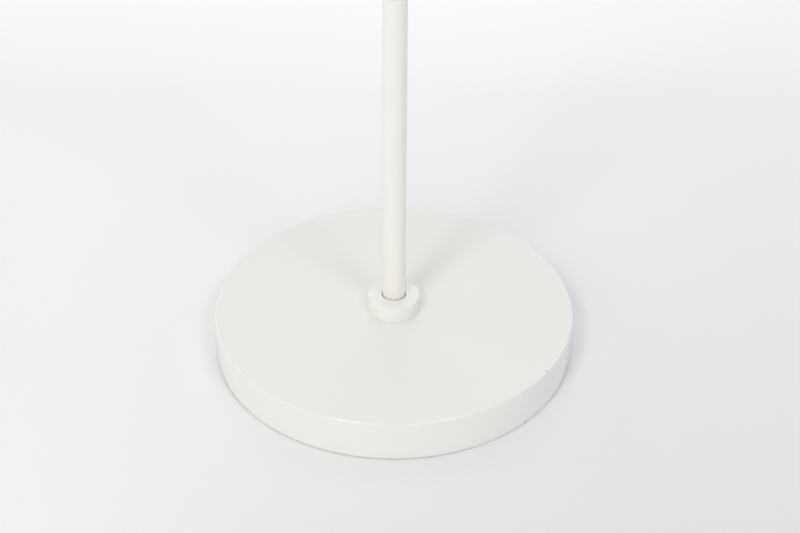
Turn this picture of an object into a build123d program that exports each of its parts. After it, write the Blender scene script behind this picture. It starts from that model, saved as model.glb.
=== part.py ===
from build123d import *
from math import cos, radians, sin, sqrt
import os

# A floor lamp for reading: a round weighted base, a slim pole in two lengths, a swivelling arm
# and a tilting conical shade. All sizes are in millimetres.
# The origin is on the floor at the centre of the base, +Z is up, and the arm points along +X.

# Clearances
SEAT_GAP = 0.05          # pressed or glued seats, on the radius
RUNNING_GAP = 0.05       # shafts that turn in a bore, on the radius
THREAD_GAP = 0.1         # threads drawn as plain cylinders, on the radius
DROP_IN_GAP = 0.3        # pieces that drop into a housing, on the radius

# Base
BASE_DIAMETER = 250.0
BASE_HEIGHT = 30.0       # floor to the top of the cover
COVER_WALL = 1.2
COVER_EDGE_RADIUS = 1.2  # outside of the pressed top edge
COVER_CREASE = 0.6       # inside of the same edge
RIM_GAP = 0.6            # the rim of the cover stops this far above the floor
PAD_THICKNESS = 2.0
PAD_INSET = 4.0          # from the edge of the ballast
BALLAST_THICKNESS = 16.0
BALLAST_HUB_DIAMETER = 64.0
BALLAST_WEB = 8.0        # iron left above the hollow under the hub
BALLAST_EDGE = 1.0
HOLLOW_DIAMETER = 50.0   # under the hub, for the nut and the lead

# Cord inlet in the back wall of the cover
INLET_BORE = 7.2
INLET_HEIGHT = 9.0       # centre above the floor
INLET_WALL = 1.4
INLET_LIP = 2.0          # height of the two lips
INLET_LIP_THICKNESS = 2.0
CHANNEL_GAP = 0.5        # round the inner lip, in the ballast

# Hollow threaded tube, its nut and washer
THREAD_DIAMETER = 10.0
THREAD_BORE = 7.0
THREAD_REACH = 20.0      # above the cover, into the foot of the pole
NUT_WIDTH = 14.0
NUT_HEIGHT = 3.5
WASHER_DIAMETER = 22.0
WASHER_THICKNESS = 1.2

# Terminal block and the lead inside the lamp
LEAD_DIAMETER = 5.0
LEAD_BEND = 7.0
LEAD_BORE = 6.4          # ways for the lead through solid pieces
BLOCK_WIDTH = 12.0
BLOCK_LENGTH = 18.0
BLOCK_HEIGHT = 10.0
BLOCK_DISTANCE = 40.0    # inner face, from the axis of the pole
BLOCK_WIRE_HOLE = 3.0
BLOCK_SCREW_DIAMETER = 3.0
BLOCK_PITCH = 5.5

# Collar and pole
COLLAR_DIAMETER = 36.0
COLLAR_HEIGHT = 12.0
COLLAR_GAP = 0.7         # dark gap round the pole
COLLAR_TOP_RADIUS = 5.0
COLLAR_FOOT_RADIUS = 1.6
COLLAR_MOUTH_EDGE = 0.4
FOOT_FLANGE_DIAMETER = 26.0
FOOT_FLANGE = 4.0
FOOT_SPIGOT = 26.0
POLE_DIAMETER = 16.0
POLE_WALL = 1.0
LOWER_POLE_LENGTH = 640.0
UPPER_POLE_LENGTH = 620.0
INSERT_LENGTH = 24.0
STUD_LENGTH = 16.0

# Swivel at the top of the pole
SWIVEL_DIAMETER = 22.0
SWIVEL_FLANGE = 6.0
SWIVEL_EDGE = 0.8
TOP_BUSH_DEPTH = 28.0
SWIVEL_WASHER = 0.8
SWIVEL_WASHER_DIAMETER = 13.2
SPINDLE_SEAT = 8.0       # length held in the hub
SPINDLE_TAIL = 4.0       # length below the bush
CLIP_DIAMETER = 12.6
CLIP_THICKNESS = 1.0
CLIP_DEPTH = 0.5         # of the groove that holds the clip
CLIP_PLAY = 0.2          # between clip and bush, along the spindle
CLIP_OPENING = 5.0
STOP_PIN_DIAMETER = 2.0
STOP_PIN_SEAT = 5.0
STOP_CIRCLE = 16.4       # diameter that the stop pin runs on
STOP_GROOVE_WIDTH = 2.4
STOP_GROOVE_DEPTH = 2.2
STOP_PIN_GAP = 0.4       # under the pin
STOP_BLOCK_ANGLE = 16.0  # what is left of the groove, in degrees

# Hub and arm
HUB_DIAMETER = 24.0
HUB_HEIGHT = 34.0
HUB_TOP_RADIUS = 5.0
HUB_FOOT_EDGE = 0.8
ARM_RISE = 17.0          # arm axis above the foot of the hub
BOSS_DIAMETER = 18.0
BOSS_REACH = 30.0        # from the axis of the pole
BOSS_EDGE = 1.5
BOSS_BLEND = 2.0
ARM_SOCKET = 21.0        # length of the arm held in the boss
ELBOW_DIAMETER = 15.0    # hollow in the hub where the lead turns
ARM_DIAMETER = 12.0
ARM_WALL = 1.0
ARM_REACH = 230.0        # far end of the arm tube, from the axis of the pole
GRUB_DIAMETER = 4.0
GRUB_SUNK = 0.4
GRUB_SOCKET = 2.0
GRUB_SOCKET_DEPTH = 1.4

# Friction knuckle at the end of the arm
KNUCKLE_DIAMETER = 24.0
KNUCKLE_HALF = 8.0       # thickness of each half
KNUCKLE_EDGE = 1.2
KNUCKLE_REACH = 20.0     # end of the arm to the pivot
KNUCKLE_SPIGOT = 18.0
KNUCKLE_CLEARANCE = 0.4  # round the other half
KNUCKLE_RIM = 3.0
KNUCKLE_HOLLOW = 5.5
KNUCKLE_BOSS_DIAMETER = 9.0
FRICTION_RING = 0.5
STEM_DIAMETER = 12.0
BOLT_DIAMETER = 5.0
BOLT_GAP = 0.08
BOLT_HEAD_DIAMETER = 9.0
BOLT_HEAD = 3.0
BOLT_SLOT = 1.2
BOLT_SLOT_DEPTH = 1.2
BOLT_GRIP = 3.5          # thread held in the cap nut
SPRING_WASHER = 1.2
SPRING_WASHER_DIAMETER = 9.2
SPRING_WASHER_SLIT = 1.0
CAP_NUT_WIDTH = 8.0
CAP_NUT_HEIGHT = 4.0
CAP_NUT_DOME = 3.4       # height of the dome above the hexagon

# Neck of the head and the cup over the lampholder
NECK_DROP = 34.0         # pivot to the top of the cup
NECK_FLANGE_DIAMETER = 20.0
NECK_FLANGE = 3.0
NECK_STUD = 13.0         # thread below the flange
CUP_DIAMETER = 50.0
CUP_HEIGHT = 62.0
CUP_WALL = 1.0
CUP_TOP_RADIUS = 14.0
VENT_COUNT = 10
VENT_WIDTH = 3.0
VENT_LENGTH = 14.0
VENT_DROP = 25.0         # centre of the vents below the top of the cup

# Lampholder with its ring
HOLDER_DIAMETER = 40.0
HOLDER_TOP_RADIUS = 4.0
HOLDER_FLANGE_DIAMETER = 46.0
HOLDER_FLANGE = 3.0
SKIRT_DIAMETER = 39.4
SKIRT_LENGTH = 26.0
SOCKET_BORE = 28.0
SOCKET_DEPTH = 36.0
SCREW_SHELL_WALL = 0.5
SCREW_SHELL_LENGTH = 24.0
SCREW_SHELL_INSET = 1.0  # from the mouth of the skirt
CONTACT_DIAMETER = 12.0
CONTACT_THICKNESS = 2.0
RING_DIAMETER = 52.0
RING_HEIGHT = 12.0
RING_GRIPS = 16
RING_GRIP_DIAMETER = 4.0
RING_GRIP_DEPTH = 0.9

# Shade
SHADE_MOUTH = 180.0
SHADE_HEIGHT = 118.0
SHADE_WALL = 0.8
SHADE_SHOULDER = 74.0    # diameter where top and cone would meet
SHADE_SHOULDER_RADIUS = 12.0
SHADE_BEAD = 3.2         # diameter of the rolled rim

# Bulb
BULB_DIAMETER = 45.0
BULB_WALL = 1.0
BULB_LENGTH = 54.0       # glass below the cap
BULB_SHOULDER_ANGLE = 42.0
CAP_DIAMETER = 26.0
CAP_WALL = 0.5
CAP_LENGTH = 24.0
CAP_HOLE = 14.0
INSULATOR_HEIGHT = 4.0
TIP_DIAMETER = 9.0
TIP_HEIGHT = 2.0

# Turn switch on the side of the cup
SWITCH_DROP = 44.0       # below the top of the cup
SWITCH_SPINDLE = 4.0
SWITCH_SPINDLE_SEAT = 11.0
SWITCH_HOLE_GAP = 0.6
KNOB_DIAMETER = 14.0
KNOB_LENGTH = 13.0
KNOB_GAP = 1.0           # to the cup
KNOB_SEAT = 9.0
KNOB_EDGE = 1.2
KNOB_GRIP = 10.0         # length of the flutes, from the cup side
KNOB_FLUTES = 12
KNOB_FLUTE_DIAMETER = 2.2

# Radii and levels that several pieces share
base_radius = BASE_DIAMETER / 2
cover_inner_radius = base_radius - COVER_WALL
cover_underside = BASE_HEIGHT - COVER_WALL
ballast_radius = cover_inner_radius - DROP_IN_GAP
ballast_top = PAD_THICKNESS + BALLAST_THICKNESS
hollow_ceiling = cover_underside - BALLAST_WEB
thread_radius = THREAD_DIAMETER / 2
thread_hole = thread_radius + THREAD_GAP
washer_foot = hollow_ceiling - WASHER_THICKNESS
nut_foot = washer_foot - NUT_HEIGHT
inlet_seat = INLET_BORE / 2 + INLET_WALL
inlet_lip = inlet_seat + INLET_LIP
inlet_inner_face = sqrt(cover_inner_radius**2 - inlet_lip**2) - SEAT_GAP
channel_half = inlet_lip + CHANNEL_GAP
channel_ceiling = INLET_HEIGHT + channel_half
block_centre = BLOCK_DISTANCE + BLOCK_LENGTH / 2
lead_height = channel_ceiling - BLOCK_HEIGHT / 2
pole_radius = POLE_DIAMETER / 2
pole_bore = pole_radius - POLE_WALL
pole_insert = pole_bore - SEAT_GAP
foot_flange_top = BASE_HEIGHT + FOOT_FLANGE
pole_joint = foot_flange_top + LOWER_POLE_LENGTH
pole_top = pole_joint + UPPER_POLE_LENGTH
swivel_face = pole_top + SWIVEL_FLANGE
hub_foot = swivel_face + SWIVEL_WASHER
arm_level = hub_foot + ARM_RISE
spindle_hole = thread_radius + RUNNING_GAP
bush_foot = pole_top - TOP_BUSH_DEPTH
clip_top = bush_foot - CLIP_PLAY
clip_groove = thread_radius - CLIP_DEPTH
stop_radius = STOP_CIRCLE / 2
arm_radius = ARM_DIAMETER / 2
arm_bore = arm_radius - ARM_WALL
arm_start = BOSS_REACH - ARM_SOCKET
pivot_x = ARM_REACH + KNUCKLE_REACH
knuckle_radius = KNUCKLE_DIAMETER / 2
knuckle_face = FRICTION_RING / 2
knuckle_back = knuckle_face + KNUCKLE_HALF
bolt_hole = BOLT_DIAMETER / 2 + BOLT_GAP

# Levels of the head, measured down from the pivot
cup_top = NECK_DROP
cup_inside = cup_top + CUP_WALL
holder_top = cup_inside + NUT_HEIGHT
stud_end = cup_top + NECK_STUD
shade_top = cup_top + CUP_HEIGHT
shade_inside = shade_top + SHADE_WALL
shade_mouth = shade_top + SHADE_HEIGHT
holder_foot = shade_top + SKIRT_LENGTH
socket_top = holder_foot - SOCKET_DEPTH
contact_face = socket_top + CONTACT_THICKNESS
insulator_top = contact_face + TIP_HEIGHT
cap_top = insulator_top + INSULATOR_HEIGHT
cap_foot = cap_top + CAP_LENGTH
bulb_end = cap_foot + BULB_LENGTH
switch_level = cup_top + SWITCH_DROP
cup_radius = CUP_DIAMETER / 2
knob_start = cup_radius + KNOB_GAP

# Planes and axes of the sub-assemblies
inlet_plane = Plane(origin=(0, 0, INLET_HEIGHT), x_dir=(0, 1, 0), z_dir=(1, 0, 0))
inlet_axis = Axis((0, 0, INLET_HEIGHT), (0, 1, 0))
arm_plane = Plane(origin=(0, 0, arm_level), x_dir=(1, 0, 0), z_dir=(0, -1, 0))
arm_axis = Axis((0, 0, arm_level), (1, 0, 0))
pivot = Vector(pivot_x, 0, arm_level)
head_plane = Plane(origin=pivot, x_dir=(1, 0, 0), z_dir=(0, -1, 0))
head_axis = Axis(pivot, (0, 0, 1))
pivot_plane = Plane(origin=pivot, x_dir=(1, 0, 0), z_dir=(0, 1, 0))
pivot_axis = Axis(pivot, (0, 1, 0))
bolt_plane = Plane(origin=pivot, x_dir=(0, 1, 0), z_dir=(1, 0, 0))
arm_side = Plane(origin=pivot, x_dir=(-1, 0, 0), z_dir=(0, -1, 0))
head_side = Plane(origin=pivot, x_dir=(0, 0, -1), z_dir=(0, 1, 0))


def across(distance, level):
    """Plane square to the arm direction, `distance` from the pole axis at a height."""
    return Plane(origin=(distance, 0, level), x_dir=(0, 1, 0), z_dir=(1, 0, 0))


def turned(outline, plane=Plane.XZ, axis=Axis.Z):
    """A turned piece from a closed outline of (radius, height) points."""
    with BuildPart() as piece:
        with BuildSketch(plane):
            with BuildLine():
                Polyline(*outline, close=True)
            make_face()
        revolve(axis=axis)
    return piece


def sleeve(inner, outer, start, end):
    """Outline of a plain tube between two levels."""
    return [(inner, start), (outer, start), (outer, end), (inner, end)]


def hex_nut(level, plane):
    """A thin hexagon nut for the hollow thread, standing on its plane."""
    with BuildPart() as nut:
        with BuildSketch(plane.offset(level)):
            RegularPolygon(NUT_WIDTH / 2, 6, major_radius=False)
            Circle(thread_hole, mode=Mode.SUBTRACT)
        extrude(amount=NUT_HEIGHT)
    return nut


def knuckle_half(side, stations):
    """One half of the friction knuckle: a hollow disc with a round stem.

    The side plane looks away from the mating face, with its x axis along the stem. Each station is
    (radius, start, end) of the stem, measured from the pivot.
    """
    mating = side.offset(knuckle_face)
    with BuildPart() as half:
        with BuildSketch(mating):
            Circle(knuckle_radius)
        extrude(amount=KNUCKLE_HALF)
        chamfer(half.faces().sort_by(Axis(side.origin, side.z_dir))[-1].edges(), KNUCKLE_EDGE)
        for radius, start, end in stations:
            foot = Plane(side.origin + side.x_dir * start, x_dir=side.z_dir, z_dir=side.x_dir)
            with BuildSketch(foot):
                Circle(radius)
            extrude(amount=end - start)
        # Room for the other half to turn
        with BuildSketch(mating):
            Circle(knuckle_radius + KNUCKLE_CLEARANCE)
        extrude(amount=-STEM_DIAMETER, mode=Mode.SUBTRACT)
        # Hollow for the lead round the bolt boss, with a way out to the stem
        hollow_radius = knuckle_radius - KNUCKLE_RIM
        way_start = hollow_radius - LEAD_DIAMETER / 2
        with BuildSketch(mating):
            Circle(hollow_radius)
            Circle(KNUCKLE_BOSS_DIAMETER / 2, mode=Mode.SUBTRACT)
            with Locations((way_start, 0)):
                Rectangle(
                    knuckle_radius + KNUCKLE_RIM - way_start,
                    LEAD_DIAMETER,
                    align=(Align.MIN, Align.CENTER),
                )
        extrude(amount=KNUCKLE_HOLLOW, mode=Mode.SUBTRACT)
        stem_end = stations[-1][2]
        mouth = Plane(side.origin + side.x_dir * stem_end, x_dir=side.z_dir, z_dir=-side.x_dir)
        with BuildSketch(mouth):
            Circle(LEAD_BORE / 2)
        extrude(amount=stem_end - way_start, mode=Mode.SUBTRACT)
        with BuildSketch(side):
            Circle(bolt_hole)
        extrude(amount=knuckle_back, mode=Mode.SUBTRACT)
    return half


# Base cover: a pressed shell, open underneath
with BuildPart() as base_cover:
    with BuildSketch(Plane.XY.offset(RIM_GAP)):
        Circle(base_radius)
    extrude(amount=BASE_HEIGHT - RIM_GAP)
    offset(amount=-COVER_WALL, openings=base_cover.faces().sort_by(Axis.Z)[0])
    ceiling = base_cover.faces().filter_by(Plane.XY).sort_by(Axis.Z)[-2]
    fillet(ceiling.edges(), COVER_CREASE)
    fillet(base_cover.faces().sort_by(Axis.Z)[-1].edges(), COVER_EDGE_RADIUS)
    with BuildSketch(Plane.XY.offset(cover_underside)):
        Circle(thread_hole)
    extrude(amount=COVER_WALL, mode=Mode.SUBTRACT)
    with BuildSketch(Plane.XZ.offset(-cover_inner_radius / 2)):
        with Locations((0, INLET_HEIGHT)):
            Circle(inlet_seat + SEAT_GAP)
    extrude(amount=-base_radius, mode=Mode.SUBTRACT)

# Ballast: a cast disc with a hub that carries the cover and a channel to the cord inlet
with BuildPart() as ballast:
    with BuildSketch(Plane.XZ):
        with BuildLine():
            Polyline(
                (thread_hole, hollow_ceiling),
                (HOLLOW_DIAMETER / 2, hollow_ceiling),
                (HOLLOW_DIAMETER / 2, PAD_THICKNESS),
                (ballast_radius, PAD_THICKNESS),
                (ballast_radius, ballast_top),
                (BALLAST_HUB_DIAMETER / 2, ballast_top),
                (BALLAST_HUB_DIAMETER / 2, cover_underside),
                (thread_hole, cover_underside),
                close=True,
            )
        make_face()
    revolve(axis=Axis.Z)
    rims = ballast.edges().filter_by(GeomType.CIRCLE).group_by(Axis.Z)
    chamfer(rims[0].sort_by(SortBy.RADIUS)[-1], BALLAST_EDGE)
    chamfer(ballast.edges().filter_by(GeomType.CIRCLE).sort_by(SortBy.RADIUS)[-1], BALLAST_EDGE)
    with BuildSketch(Plane.XZ):
        with Locations((0, (PAD_THICKNESS + channel_ceiling) / 2)):
            Rectangle(2 * channel_half, channel_ceiling - PAD_THICKNESS)
    extrude(amount=-base_radius, mode=Mode.SUBTRACT)
    # Tapped hole for the screw of the terminal block
    with BuildSketch(Plane.XY.offset(channel_ceiling)):
        with Locations((0, block_centre)):
            Circle(BLOCK_SCREW_DIAMETER / 2 + SEAT_GAP)
    extrude(amount=BALLAST_THICKNESS, mode=Mode.SUBTRACT)

# Felt pad under the ballast
with BuildPart() as base_pad:
    with BuildSketch(Plane.XY):
        Circle(ballast_radius - PAD_INSET)
    extrude(amount=PAD_THICKNESS)

# Rubber bush in the back wall, a lip on each side
cord_bush = turned(
    [
        (inlet_inner_face - INLET_LIP_THICKNESS, INLET_BORE / 2),
        (inlet_inner_face - INLET_LIP_THICKNESS, inlet_lip),
        (inlet_inner_face, inlet_lip),
        (inlet_inner_face, inlet_seat),
        (base_radius, inlet_seat),
        (base_radius, inlet_lip),
        (base_radius + INLET_LIP_THICKNESS, inlet_lip - INLET_LIP / 2),
        (base_radius + INLET_LIP_THICKNESS, INLET_BORE / 2),
    ],
    inlet_plane,
    inlet_axis,
)

base_thread = turned(sleeve(THREAD_BORE / 2, thread_radius, nut_foot, BASE_HEIGHT + THREAD_REACH))
base_nut = hex_nut(nut_foot, Plane.XY)
base_washer = turned(sleeve(thread_hole, WASHER_DIAMETER / 2, washer_foot, hollow_ceiling))

# Terminal block under the channel ceiling, its two wire ways along the channel
with BuildPart() as terminal_block:
    with BuildSketch(Plane.XY.offset(channel_ceiling)):
        with Locations((0, block_centre)):
            RectangleRounded(BLOCK_WIDTH, BLOCK_LENGTH, BLOCK_WIRE_HOLE / 2)
    extrude(amount=-BLOCK_HEIGHT)
    with BuildSketch(Plane.XZ.offset(-BLOCK_DISTANCE - BLOCK_LENGTH)):
        with Locations((0, lead_height)):
            with GridLocations(BLOCK_PITCH, 0, 2, 1):
                Circle(BLOCK_WIRE_HOLE / 2)
    extrude(amount=BLOCK_LENGTH / 3, mode=Mode.SUBTRACT)
    with BuildSketch(Plane.XY.offset(channel_ceiling)):
        with Locations((0, block_centre)):
            Circle(BLOCK_SCREW_DIAMETER / 2 + SEAT_GAP)
    extrude(amount=-BLOCK_HEIGHT, mode=Mode.SUBTRACT)

# Screw that holds the block to the ballast
with BuildPart() as terminal_screw:
    with BuildSketch(Plane.XY.offset(channel_ceiling - BLOCK_HEIGHT)):
        with Locations((0, block_centre)):
            Circle(BLOCK_SCREW_DIAMETER / 2)
    extrude(amount=BLOCK_HEIGHT + ballast_top - channel_ceiling)
    with BuildSketch(Plane.XY.offset(channel_ceiling - BLOCK_HEIGHT)):
        with Locations((0, block_centre)):
            Circle(BLOCK_SCREW_DIAMETER)
    extrude(amount=-BLOCK_SCREW_DIAMETER / 2)

# Collar round the foot of the pole, hollow over the flange
with BuildPart() as collar:
    with BuildSketch(Plane.XY.offset(BASE_HEIGHT)):
        Circle(COLLAR_DIAMETER / 2)
        Circle(pole_radius + COLLAR_GAP, mode=Mode.SUBTRACT)
    extrude(amount=COLLAR_HEIGHT)
    fillet(collar.faces().sort_by(Axis.Z)[-1].outer_wire().edges(), COLLAR_TOP_RADIUS)
    chamfer(collar.faces().sort_by(Axis.Z)[-1].inner_wires().edges(), COLLAR_MOUTH_EDGE)
    fillet(collar.faces().sort_by(Axis.Z)[0].outer_wire().edges(), COLLAR_FOOT_RADIUS)
    with BuildSketch(Plane.XY.offset(BASE_HEIGHT)):
        Circle(FOOT_FLANGE_DIAMETER / 2 + DROP_IN_GAP)
    extrude(amount=FOOT_FLANGE + DROP_IN_GAP, mode=Mode.SUBTRACT)

pole_foot = turned(
    [
        (thread_hole, BASE_HEIGHT),
        (FOOT_FLANGE_DIAMETER / 2, BASE_HEIGHT),
        (FOOT_FLANGE_DIAMETER / 2, foot_flange_top),
        (pole_insert, foot_flange_top),
        (pole_insert, foot_flange_top + FOOT_SPIGOT),
        (thread_hole, foot_flange_top + FOOT_SPIGOT),
    ]
)
pole_lower = turned(sleeve(pole_bore, pole_radius, foot_flange_top, pole_joint))
pole_upper = turned(sleeve(pole_bore, pole_radius, pole_joint, pole_top))
joint_bush = turned(sleeve(thread_hole, pole_insert, pole_joint - INSERT_LENGTH, pole_joint))
joint_stud = turned(
    [
        (THREAD_BORE / 2, pole_joint - STUD_LENGTH),
        (thread_radius, pole_joint - STUD_LENGTH),
        (thread_radius, pole_joint),
        (pole_insert, pole_joint),
        (pole_insert, pole_joint + INSERT_LENGTH),
        (THREAD_BORE / 2, pole_joint + INSERT_LENGTH),
    ]
)

# Bush at the top of the pole, with the groove that limits the swivel
with BuildPart() as top_bush:
    with BuildSketch(Plane.XZ):
        with BuildLine():
            Polyline(
                (spindle_hole, bush_foot),
                (pole_insert, bush_foot),
                (pole_insert, pole_top),
                (SWIVEL_DIAMETER / 2, pole_top),
                (SWIVEL_DIAMETER / 2, swivel_face),
                (spindle_hole, swivel_face),
                close=True,
            )
        make_face()
    revolve(axis=Axis.Z)
    flange_rims = top_bush.edges().filter_by(GeomType.CIRCLE).sort_by(SortBy.RADIUS)[-2:]
    chamfer(flange_rims, SWIVEL_EDGE)
    with BuildSketch(Plane.XZ.rotated((0, 0, STOP_BLOCK_ANGLE / 2))):
        with Locations((stop_radius, swivel_face)):
            Rectangle(STOP_GROOVE_WIDTH, 2 * STOP_GROOVE_DEPTH)
    revolve(axis=Axis.Z, revolution_arc=360 - STOP_BLOCK_ANGLE, mode=Mode.SUBTRACT)

swivel_washer = turned(sleeve(spindle_hole, SWIVEL_WASHER_DIAMETER / 2, swivel_face, hub_foot))
swivel_spindle = turned(
    [
        (THREAD_BORE / 2, bush_foot - SPINDLE_TAIL),
        (thread_radius, bush_foot - SPINDLE_TAIL),
        (thread_radius, clip_top - CLIP_THICKNESS),
        (clip_groove, clip_top - CLIP_THICKNESS),
        (clip_groove, clip_top),
        (thread_radius, clip_top),
        (thread_radius, hub_foot + SPINDLE_SEAT),
        (THREAD_BORE / 2, hub_foot + SPINDLE_SEAT),
    ]
)

# Spring clip that keeps the spindle in its bush
with BuildPart() as spindle_clip:
    with BuildSketch(Plane.XY.offset(clip_top - CLIP_THICKNESS)):
        Circle(CLIP_DIAMETER / 2)
        Circle(clip_groove + SEAT_GAP, mode=Mode.SUBTRACT)
        with Locations((0, CLIP_DIAMETER / 2)):
            Rectangle(CLIP_OPENING, CLIP_DIAMETER, mode=Mode.SUBTRACT)
    extrude(amount=CLIP_THICKNESS)

# Stop pin in the foot of the hub, opposite the arm
with BuildPart() as stop_pin:
    with BuildSketch(Plane.XY.offset(swivel_face - STOP_GROOVE_DEPTH + STOP_PIN_GAP)):
        with Locations((-stop_radius, 0)):
            Circle(STOP_PIN_DIAMETER / 2)
    extrude(amount=STOP_GROOVE_DEPTH - STOP_PIN_GAP + SWIVEL_WASHER + STOP_PIN_SEAT)

# Hub: a cast elbow that turns on the pole and holds the arm
with BuildPart() as arm_hub:
    with BuildSketch(Plane.XY.offset(hub_foot)):
        Circle(HUB_DIAMETER / 2)
    extrude(amount=HUB_HEIGHT)
    with BuildSketch(across(0, arm_level)):
        Circle(BOSS_DIAMETER / 2)
    extrude(amount=BOSS_REACH)
    fillet(arm_hub.edges().filter_by(GeomType.BSPLINE), BOSS_BLEND)
    fillet(arm_hub.faces().sort_by(Axis.Z)[-1].edges(), HUB_TOP_RADIUS)
    chamfer(arm_hub.faces().sort_by(Axis.Z)[0].edges(), HUB_FOOT_EDGE)
    fillet(arm_hub.faces().sort_by(Axis.X)[-1].edges(), BOSS_EDGE)
    with BuildSketch(across(BOSS_REACH, arm_level)):
        Circle(arm_radius + SEAT_GAP)
    extrude(amount=-ARM_SOCKET, mode=Mode.SUBTRACT)
    with BuildSketch(Plane.XY.offset(hub_foot)):
        Circle(thread_radius + SEAT_GAP)
    extrude(amount=SPINDLE_SEAT, mode=Mode.SUBTRACT)
    with BuildSketch(Plane.XY.offset(hub_foot)):
        Circle(THREAD_BORE / 2)
    extrude(amount=ARM_RISE, mode=Mode.SUBTRACT)
    with Locations((0, 0, arm_level)):
        Sphere(ELBOW_DIAMETER / 2, mode=Mode.SUBTRACT)
    with BuildSketch(across(0, arm_level)):
        Circle(LEAD_BORE / 2)
    extrude(amount=BOSS_REACH, mode=Mode.SUBTRACT)
    with BuildSketch(Plane.XY.offset(hub_foot)):
        with Locations((-stop_radius, 0)):
            Circle(STOP_PIN_DIAMETER / 2 + SEAT_GAP)
    extrude(amount=STOP_PIN_SEAT, mode=Mode.SUBTRACT)
    with BuildSketch(Plane.XY.offset(arm_level)):
        with Locations((BOSS_REACH - ARM_SOCKET / 2, 0)):
            Circle(GRUB_DIAMETER / 2 + SEAT_GAP)
    extrude(amount=-BOSS_DIAMETER, mode=Mode.SUBTRACT)

# Grub screw under the boss, against the arm
with BuildPart() as grub_screw:
    grub_foot = arm_level - BOSS_DIAMETER / 2 + GRUB_SUNK
    with BuildSketch(Plane.XY.offset(grub_foot)):
        with Locations((BOSS_REACH - ARM_SOCKET / 2, 0)):
            Circle(GRUB_DIAMETER / 2)
    extrude(amount=arm_level - arm_radius - grub_foot)
    with BuildSketch(Plane.XY.offset(grub_foot)):
        with Locations((BOSS_REACH - ARM_SOCKET / 2, 0)):
            RegularPolygon(GRUB_SOCKET / 2, 6, major_radius=False)
    extrude(amount=GRUB_SOCKET_DEPTH, mode=Mode.SUBTRACT)

arm_tube = turned(
    [
        (arm_start, arm_bore),
        (arm_start, arm_radius),
        (ARM_REACH, arm_radius),
        (ARM_REACH, arm_bore),
    ],
    arm_plane,
    arm_axis,
)

# Friction knuckle: two hollow halves, a fibre ring between them and a bolt through both
knuckle_arm_half = knuckle_half(
    arm_side,
    [
        (STEM_DIAMETER / 2, 0, KNUCKLE_REACH),
        (arm_bore - SEAT_GAP, KNUCKLE_REACH, KNUCKLE_REACH + KNUCKLE_SPIGOT),
    ],
)
knuckle_head_half = knuckle_half(
    head_side,
    [
        (STEM_DIAMETER / 2, 0, cup_top),
        (NECK_FLANGE_DIAMETER / 2, cup_top - NECK_FLANGE, cup_top),
        (thread_radius, cup_top, stud_end),
    ],
)

with BuildPart() as friction_ring:
    with BuildSketch(pivot_plane.offset(-knuckle_face)):
        Circle(knuckle_radius)
        Circle(knuckle_radius - KNUCKLE_RIM, mode=Mode.SUBTRACT)
    extrude(amount=FRICTION_RING)

# Slotted bolt, its head on the arm half
with BuildPart() as knuckle_bolt:
    with BuildSketch(pivot_plane.offset(-knuckle_back)):
        Circle(BOLT_DIAMETER / 2)
    extrude(amount=2 * knuckle_back + SPRING_WASHER + BOLT_GRIP)
    with BuildSketch(pivot_plane.offset(-knuckle_back)):
        Circle(BOLT_HEAD_DIAMETER / 2)
    extrude(amount=-BOLT_HEAD)
    chamfer(knuckle_bolt.faces().sort_by(Axis.Y)[0].edges(), BOLT_HEAD / 4)
    with BuildSketch(pivot_plane.offset(-knuckle_back - BOLT_HEAD)):
        Rectangle(BOLT_HEAD_DIAMETER, BOLT_SLOT)
    extrude(amount=BOLT_SLOT_DEPTH, mode=Mode.SUBTRACT)

with BuildPart() as spring_washer:
    with BuildSketch(pivot_plane.offset(knuckle_back)):
        Circle(SPRING_WASHER_DIAMETER / 2)
        Circle(bolt_hole, mode=Mode.SUBTRACT)
        with Locations((SPRING_WASHER_DIAMETER / 2, 0)):
            Rectangle(SPRING_WASHER_DIAMETER, SPRING_WASHER_SLIT, mode=Mode.SUBTRACT)
    extrude(amount=SPRING_WASHER)

# Domed nut on the head half
with BuildPart() as cap_nut:
    nut_seat = knuckle_back + SPRING_WASHER
    dome_foot = nut_seat + CAP_NUT_HEIGHT
    with BuildSketch(pivot_plane.offset(nut_seat)):
        RegularPolygon(CAP_NUT_WIDTH / 2, 6, major_radius=False)
    extrude(amount=CAP_NUT_HEIGHT)
    with BuildSketch(bolt_plane):
        with BuildLine():
            Line((dome_foot, 0), (dome_foot, CAP_NUT_WIDTH / 2))
            RadiusArc((dome_foot, CAP_NUT_WIDTH / 2), (dome_foot + CAP_NUT_DOME, 0), CAP_NUT_WIDTH / 2)
            Line((dome_foot + CAP_NUT_DOME, 0), (dome_foot, 0))
        make_face()
    revolve(axis=pivot_axis)
    with BuildSketch(pivot_plane.offset(nut_seat)):
        Circle(BOLT_DIAMETER / 2 + THREAD_GAP)
    extrude(amount=BOLT_GRIP + THREAD_GAP, mode=Mode.SUBTRACT)

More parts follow.
